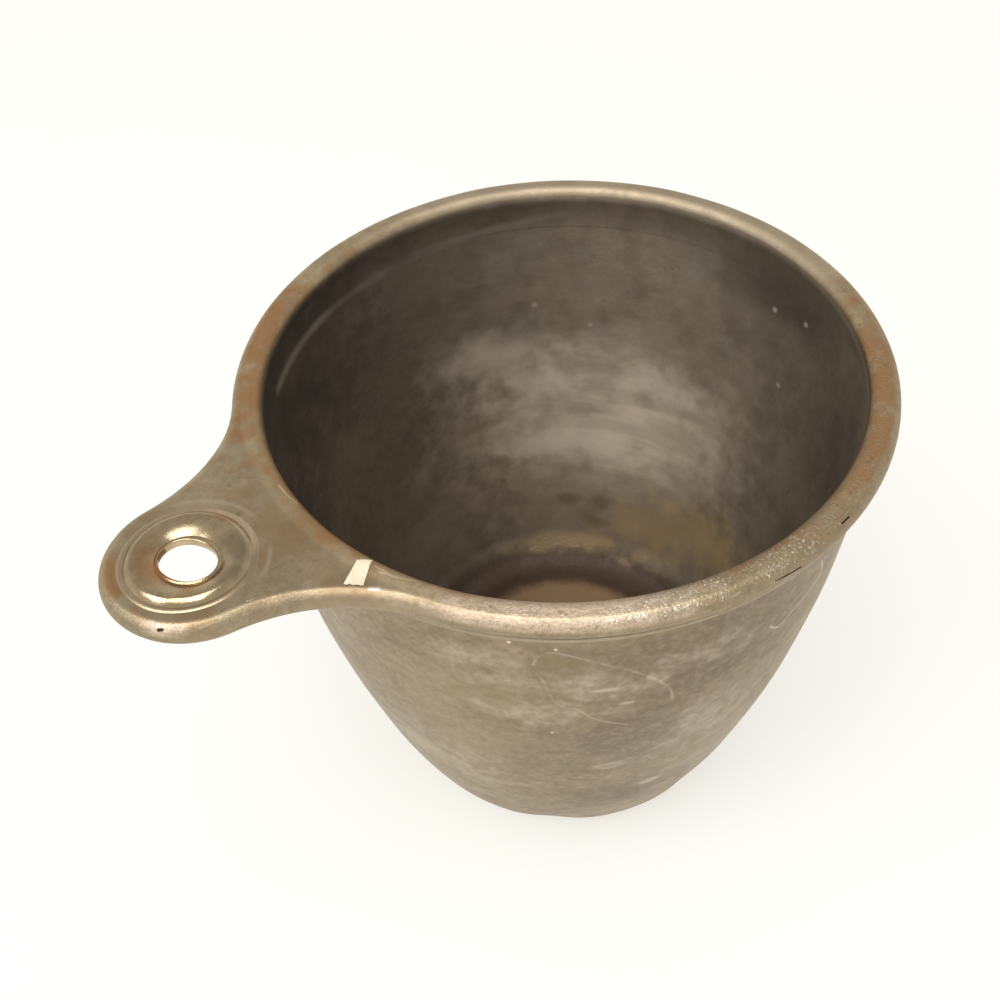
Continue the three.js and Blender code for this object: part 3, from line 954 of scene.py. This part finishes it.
def frame_metal():
    """Brown plate, coppery where the plating is worn off the crest, with a gritty bead; painted glints,
    highlights and shade on the bead and its edges.
    """
    material, finish = new_material("frame_metal")
    plate = finish.plate((0.57, 0.455, 0.295), (0.29, 0.222, 0.13), cloud=0.13, smooth=0.28, rough=0.42)
    # The cup's inside colour, with its painted shade and light, for the deep collar
    tarnish = finish.group(INSIDE_TARNISH_AND_LIGHT)
    place = finish.axes()
    bead = finish.mark("bead")
    collar = finish.mark("collar")

    # Parts of the frame
    deep = finish.spread(collar, 0.5, 1.0)
    outer = finish.spread(bead, 0.12, 0.5)
    inner = finish.weaken(finish.fade(bead, 0.02, 0.2), finish.fade(deep, 0.0, 0.7))
    across = finish.from_line(0)
    edge = finish.strongest([finish.spread(bead, 0.0, 0.12), finish.fade(across, RIM_LINE, RIM_LINE + 0.6)])
    edge = finish.weaken(edge, finish.fade(deep, 0.0, 0.5))
    near = finish.spread(place["Y"], 8.0, 26.0)
    handle = finish.spread(place["X"], 38.0, 43.0)
    back = finish.weaken(finish.fade(place["X"], -14.0, 6.0), finish.fade(place["Y"], 0.0, 20.0))
    back = finish.weaken(back, edge)
    lip = finish.weaken(finish.spread(collar, 0.02, 0.15), finish.fade(collar, 0.25, 0.5))
    lip = finish.weaken(lip, finish.spread(place["X"], 24.0, 30.0))
    # Painted shade: a dark line on the near rim's inner edge, where it turns down into the cup
    brink = finish.weaken(finish.spread(collar, 0.3, 0.65), near)

    # Grit of the bead, with painted glints and a painted highlight
    gritty = finish.weaken(edge, finish.strongest([near, finish.weaken(handle, 0.7), 0.2]))
    grit = finish.weaken(finish.strongest([finish.pits(0.9, 0.4), finish.pits(0.45, 0.5)]), gritty)
    grain = finish.weaken(finish.mottle((3.4, 3.4, 3.4), 0.4, 0.62), gritty)
    patina = finish.weaken(finish.mottle((0.8, 0.8, 0.8), 0.42, 0.6), gritty)
    along = finish.weaken(finish.maths("ARCTAN2", place["Y"], place["X"]), RIM_RADIUS)
    run = add_node(finish.tree, "ShaderNodeCombineXYZ", {0: along, 1: across, 2: place["Z"]}).outputs[0]
    strokes = finish.group(MOTTLE, Vector=run, Grain=(0.7, 2.4, 2.4), Low=0.42, High=0.64)["Mask"]
    strokes = finish.weaken(strokes, gritty)
    # Painted glints: bright flecks on the front of the bead and at the tip
    flecks = finish.mottle((3.2, 3.2, 3.2), 0.57, 0.66)
    glints = finish.weaken(flecks, finish.weaken(edge, finish.fade(bead, 0.3, 0.55)))
    glints = finish.weaken(glints, finish.spots([
        ((3, 37.4, 69.8), (8, 3, 3)),
        ((16, 34.5, 69.8), (13, 6, 3)),
        ((52.8, 6, 71.4), (2, 2, 2)),
    ], core=0.2, ragged=0.6))
    # Burnished metal, lightened further as a painted highlight on the front of the bead and at the tip
    burnish_and_highlight = finish.weaken(edge, finish.fade(bead, 0.5, 0.95))
    burnish_and_highlight = finish.weaken(burnish_and_highlight, finish.spots([
        ((25, 28, 69.5), (19, 16, 6)),
        ((53, 6, 71), (3, 2.5, 3)),
    ], core=0.2, ragged=0.6))

    # Copper, stains and marks; painted highlights on the pressed ring and chip, painted shade in the slits
    worn = finish.spots([
        ((27, -23, 70.1), (22, 22, 4)),
        ((-22, 30, 70.1), (22, 22, 4)),
        ((55, -3, 71.5), (3.4, 6.5, 3)),
        ((34.6, 1, 70.0), (2.0, 15, 3)),
        ((6, 35.4, 70.1), (16, 2.2, 3)),
    ], core=0.3, ragged=1.0)
    front_right = finish.weaken(near, finish.spread(place["X"], -10.0, -2.0))
    off_front = finish.maths("SUBTRACT", 1.0, front_right)
    shoulder = finish.strongest([finish.spread(collar, 0.0, 0.1), off_front])
    copper = finish.weaken(worn, finish.weaken(inner, shoulder))
    copper = finish.weaken(copper, finish.mottle((0.36, 0.36, 0.36), 0.27, 0.56))
    stain = finish.mottle((0.17, 0.17, 0.17), 0.45, 0.65)
    olive = finish.mottle((0.24, 0.24, 0.24), 0.5, 0.66)
    web = finish.spots([((37.0, 1.5, 70.2), (4.5, 11, 3))], core=0.2, ragged=0.8)
    # A pressed ring, bumped, with a painted highlight along it where it catches light
    press_arc = finish.spots([
        ((42.5, -4.5, 70.7), (7, 6, 3)),
        ((41.6, 5.2, 70.6), (3, 3.2, 3)),
    ], core=0.4, ragged=0.3)
    press = finish.weaken(finish.ring(PRESS_RING, 0.05, 0.4), press_arc)
    # Painted shade: near-black lines for the shade inside thin slits of the bead
    slits = finish.strongest(finish.scratch(points, width) for width, points in (
        (0.15, [(-4.2, 37.55, 69.75), (-5.4, 37.45, 69.75)]),
        (0.15, [(5.8, 37.87, 69.14), (2.3, 38.18, 68.96)]),
        (0.26, [(53.2, 6.2, 71.15), (53.55, 6.0, 71.2)]),
    ))
    # A chip in the plating, painted near-white as a glint
    chip_glint = finish.scratch([(35.7, 14.05, 70.15), (35.05, 14.55, 70.05)], width=0.36)
    scrapes = finish.strongest(finish.scratch(points, width=0.2) for points in (
        [(33.8, 12.1, 70.1), (33.2, 14.3, 70.1)],
        [(33.9, 13.0, 70.1), (32.9, 14.7, 70.1), (31.8, 16.1, 69.9)],
        [(35.6, -3.6, 70.0), (35.6, -1.8, 70.0), (35.3, -0.3, 69.8)],
    ))

    color = finish.coats(plate["Color"], [
        (stain, 0.65, (0.35, 0.235, 0.13)),
        (olive, 0.5, (0.42, 0.37, 0.245)),
        (web, 0.3, (0.34, 0.225, 0.115)),
        (back, 0.6, (0.48, 0.405, 0.305)),
        (outer, 0.5, (0.4, 0.33, 0.24)),
        (patina, 0.5, (0.35, 0.31, 0.19)),
        (burnish_and_highlight, 0.8, (0.8, 0.65, 0.5)),
        (copper, 0.85, (0.4, 0.215, 0.095)),
        (lip, 0.4, (0.5, 0.3, 0.15)),
        (strokes, 0.22, (0.3, 0.22, 0.13)),
        (grain, 0.25, (0.26, 0.18, 0.11)),
        (grit, 0.4, (0.17, 0.12, 0.07)),
        (glints, 0.8, (0.95, 0.9, 0.8)),
        (press, 0.35, (0.62, 0.53, 0.4)),
        (brink, 0.75, (0.1, 0.06, 0.035)),
        (deep, 1.0, tarnish["Color"]),
        (finish.spread(slits, 0.15, 0.5), 0.95, (0.022, 0.016, 0.012)),
        (scrapes, 0.55, (0.85, 0.66, 0.44)),
        (chip_glint, 1.0, (0.72, 0.68, 0.62)),
    ])
    roughness = finish.maths("ADD", plate["Roughness"], finish.weaken(finish.strongest([edge, deep]), 0.2))
    roughness = finish.maths("SUBTRACT", roughness, finish.weaken(glints, 0.25))
    height = finish.weaken(plate["Height"], 0.25)
    for hollow in (finish.strongest([grit, grain]), finish.weaken(press, 0.8)):
        height = finish.maths("SUBTRACT", height, hollow)
    cover(material, color, roughness, height, depth=0.024, metallic=finish.spread(deep, 0.0, 1.0, 1.0, 0.5))
    return material


def eyelet_metal():
    """Smooth bright plate, browned and a little rusty beside the hole, with painted shade on its right side
    and a painted highlight along its outer edge.
    """
    material, finish = new_material("eyelet_metal")
    plate = finish.plate((0.6, 0.478, 0.308), (0.36, 0.272, 0.158), cloud=0.2, smooth=0.12, rough=0.22)
    brown = finish.spots([
        ((50.7, -0.8, 71.6), (2.9, 4.2, 1.5)),
        ((48.7, 3.5, 71.5), (3.8, 1.9, 1.5)),
        ((41.9, -3.0, 71.0), (1.6, 4.2, 1.5)),
    ], core=0.1, ragged=0.8)
    rusty = finish.spots([((50.0, 0.0, 71.4), (1.5, 3.2, 1.2))], core=0.1, ragged=0.4)
    # Painted shade on the ring's right and near side
    dark = finish.spots([
        ((43.2, 2.0, 71.0), (2.6, 4.5, 1.5)),
        ((45.8, 4.4, 71.1), (3.2, 1.8, 1.5)),
    ], core=0.2, ragged=0.6)
    from_axis = finish.from_line(EYELET_AXIS)
    outer = finish.spread(from_axis, EYELET_VALLEY_RADIUS - 0.3, EYELET_EDGE_RADIUS)
    # Painted highlight: a light arc along the ring's outer edge on the right
    brim = finish.spots([((41.6, -1.0, 71.0), (4, 6, 2))], core=0.4, ragged=0.3)
    brim = finish.weaken(brim, finish.ring(EYELET_EDGE_RADIUS - 0.2, 0.1, 0.5))
    color = finish.coats(plate["Color"], [
        (brown, 0.8, (0.36, 0.187, 0.082)),
        (rusty, 0.75, (0.4, 0.175, 0.055)),
        (outer, 0.75, (0.44, 0.345, 0.215)),
        (dark, 0.6, (0.23, 0.18, 0.115)),
        (brim, 0.6, (0.72, 0.57, 0.4)),
    ])
    roughness = finish.maths("ADD", plate["Roughness"], finish.weaken(outer, 0.12))
    cover(material, color, roughness, plate["Height"], depth=0.005)
    return material


def wire_metal():
    """Drawn wire, dull and dark."""
    material, finish = new_material("wire_metal")
    plate = finish.plate((0.2, 0.17, 0.14), (0.12, 0.1, 0.08), cloud=0.3, smooth=0.4, rough=0.6)
    cover(material, plate["Color"], plate["Roughness"], plate["Height"], depth=0.02)
    return material


def torn_paper():
    """Blank cream paper with a soft fibre."""
    material, finish = new_material("torn_paper")
    fibre = finish.mottle((3.0, 1.2, 2.0), 0.3, 0.7)
    stain = finish.mottle((0.5, 0.5, 0.5), 0.45, 0.7)
    color = finish.coats((0.8, 0.71, 0.52), [
        (fibre, 0.5, (0.88, 0.8, 0.62)),
        (stain, 0.45, (0.62, 0.47, 0.29)),
    ])
    cover(material, color, finish.spread(fibre, 0.0, 1.0, 0.8, 0.95), fibre, depth=0.03, metallic=0.0)
    return material


def make_camera():
    data = bpy.data.cameras.new("photo_camera")
    data.lens = CAMERA_LENS
    data.sensor_width = CAMERA_SENSOR
    data.clip_start = 0.01
    camera = bpy.data.objects.new("photo_camera", data)
    back = -CAMERA_FORWARD.normalized()
    side = CAMERA_UP.cross(back).normalized()
    up = back.cross(side)
    turn = Matrix((side, up, back)).transposed().to_4x4()
    camera.matrix_world = Matrix.Translation(CAMERA_PLACE * MM) @ turn
    bpy.context.scene.collection.objects.link(camera)
    bpy.context.scene.camera = camera


def seen_directly(tree):
    """1 for rays from the camera and for mirrored or clear views of the same thing, otherwise 0."""
    path = add_node(tree, "ShaderNodeLightPath")
    seen = path.outputs["Is Camera Ray"]
    for ray in ("Is Glossy Ray", "Is Transmission Ray"):
        seen = value_math(tree, "MAXIMUM", seen, path.outputs[ray])
    return seen


def make_floor():
    mesh = bpy.data.meshes.new("studio_floor")
    corners = [(x * FLOOR_HALF, y * FLOOR_HALF, 0) for x, y in ((-1, -1), (1, -1), (1, 1), (-1, 1))]
    mesh.from_pydata(corners, [], [(0, 1, 2, 3)])
    floor = bpy.data.objects.new("studio_floor", mesh)
    bpy.context.scene.collection.objects.link(floor)
    material = bpy.data.materials.new("pale_floor")
    material.use_nodes = True
    tree = material.node_tree
    shader = tree.nodes["Principled BSDF"]
    shader.inputs["Base Color"].default_value = FLOOR_COLOR
    shader.inputs["Roughness"].default_value = 0.9
    shader.inputs["Specular IOR Level"].default_value = 0.1
    shader.inputs["Emission Color"].default_value = FLOOR_GLOW_COLOR
    glow = value_math(tree, "MULTIPLY", seen_directly(tree), FLOOR_GLOW)
    tree.links.new(glow, shader.inputs["Emission Strength"])
    mesh.materials.append(material)


def make_world():
    """A pale room that is bright all round at eye level and dimmer overhead."""
    world = bpy.data.worlds.new("studio")
    bpy.context.scene.world = world
    world.use_nodes = True
    tree = world.node_tree
    sky = tree.nodes["Background"]
    sky.inputs["Color"].default_value = ROOM_COLOR
    way = add_node(tree, "ShaderNodeTexCoord").outputs["Generated"]
    rise = add_node(tree, "ShaderNodeSeparateXYZ", {0: way}).outputs["Z"]
    light = spread(tree, rise, ROOM_LOW, ROOM_HIGH, ROOM_SIDE_LIGHT, ROOM_TOP_LIGHT)
    feed(tree, sky.inputs["Strength"], light)


def make_softbox(name, azimuth, elevation, distance, size, energy):
    """A square area lamp that faces the middle of the cup."""
    data = bpy.data.lights.new(name, "AREA")
    data.size = size
    data.energy = energy
    lamp = bpy.data.objects.new(name, data)
    turn = math.radians(azimuth)
    rise = math.radians(elevation)
    back = Vector((math.cos(turn) * math.cos(rise), math.sin(turn) * math.cos(rise), math.sin(rise)))
    lamp.location = Vector((0, 0, CUP_HEIGHT * MM / 2)) + back * distance
    lamp.rotation_euler = back.to_track_quat("Z", "Y").to_euler()
    bpy.context.scene.collection.objects.link(lamp)


MOTTLE = mottle_group()
SPOT = spot_group()
SCRATCH = scratch_group()
PITS = pits_group()
AGED_PLATE = aged_plate_group()
INSIDE_TARNISH_AND_LIGHT = inside_tarnish_and_light_group()

for piece, node, slot in (
    (make_bowl(), "bowl", "bowl_metal"),
    (make_frame(), "rim_handle_frame", "frame_metal"),
    (make_eyelet(), "hang_eyelet", "eyelet_metal"),
):
    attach(piece, "root")
    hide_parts(node)

paper = make_paper()
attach(paper, "root")

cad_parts["rim_wire"].material_slots[0].material = wire_metal()

make_camera()
make_floor()
make_world()
make_softbox("overhead_softbox", azimuth=50, elevation=74, distance=0.8, size=0.5, energy=2.9)
make_softbox("side_softbox", azimuth=-10, elevation=52, distance=0.9, size=0.4, energy=2.3)

scene = bpy.context.scene
scene.view_settings.view_transform = "Standard"
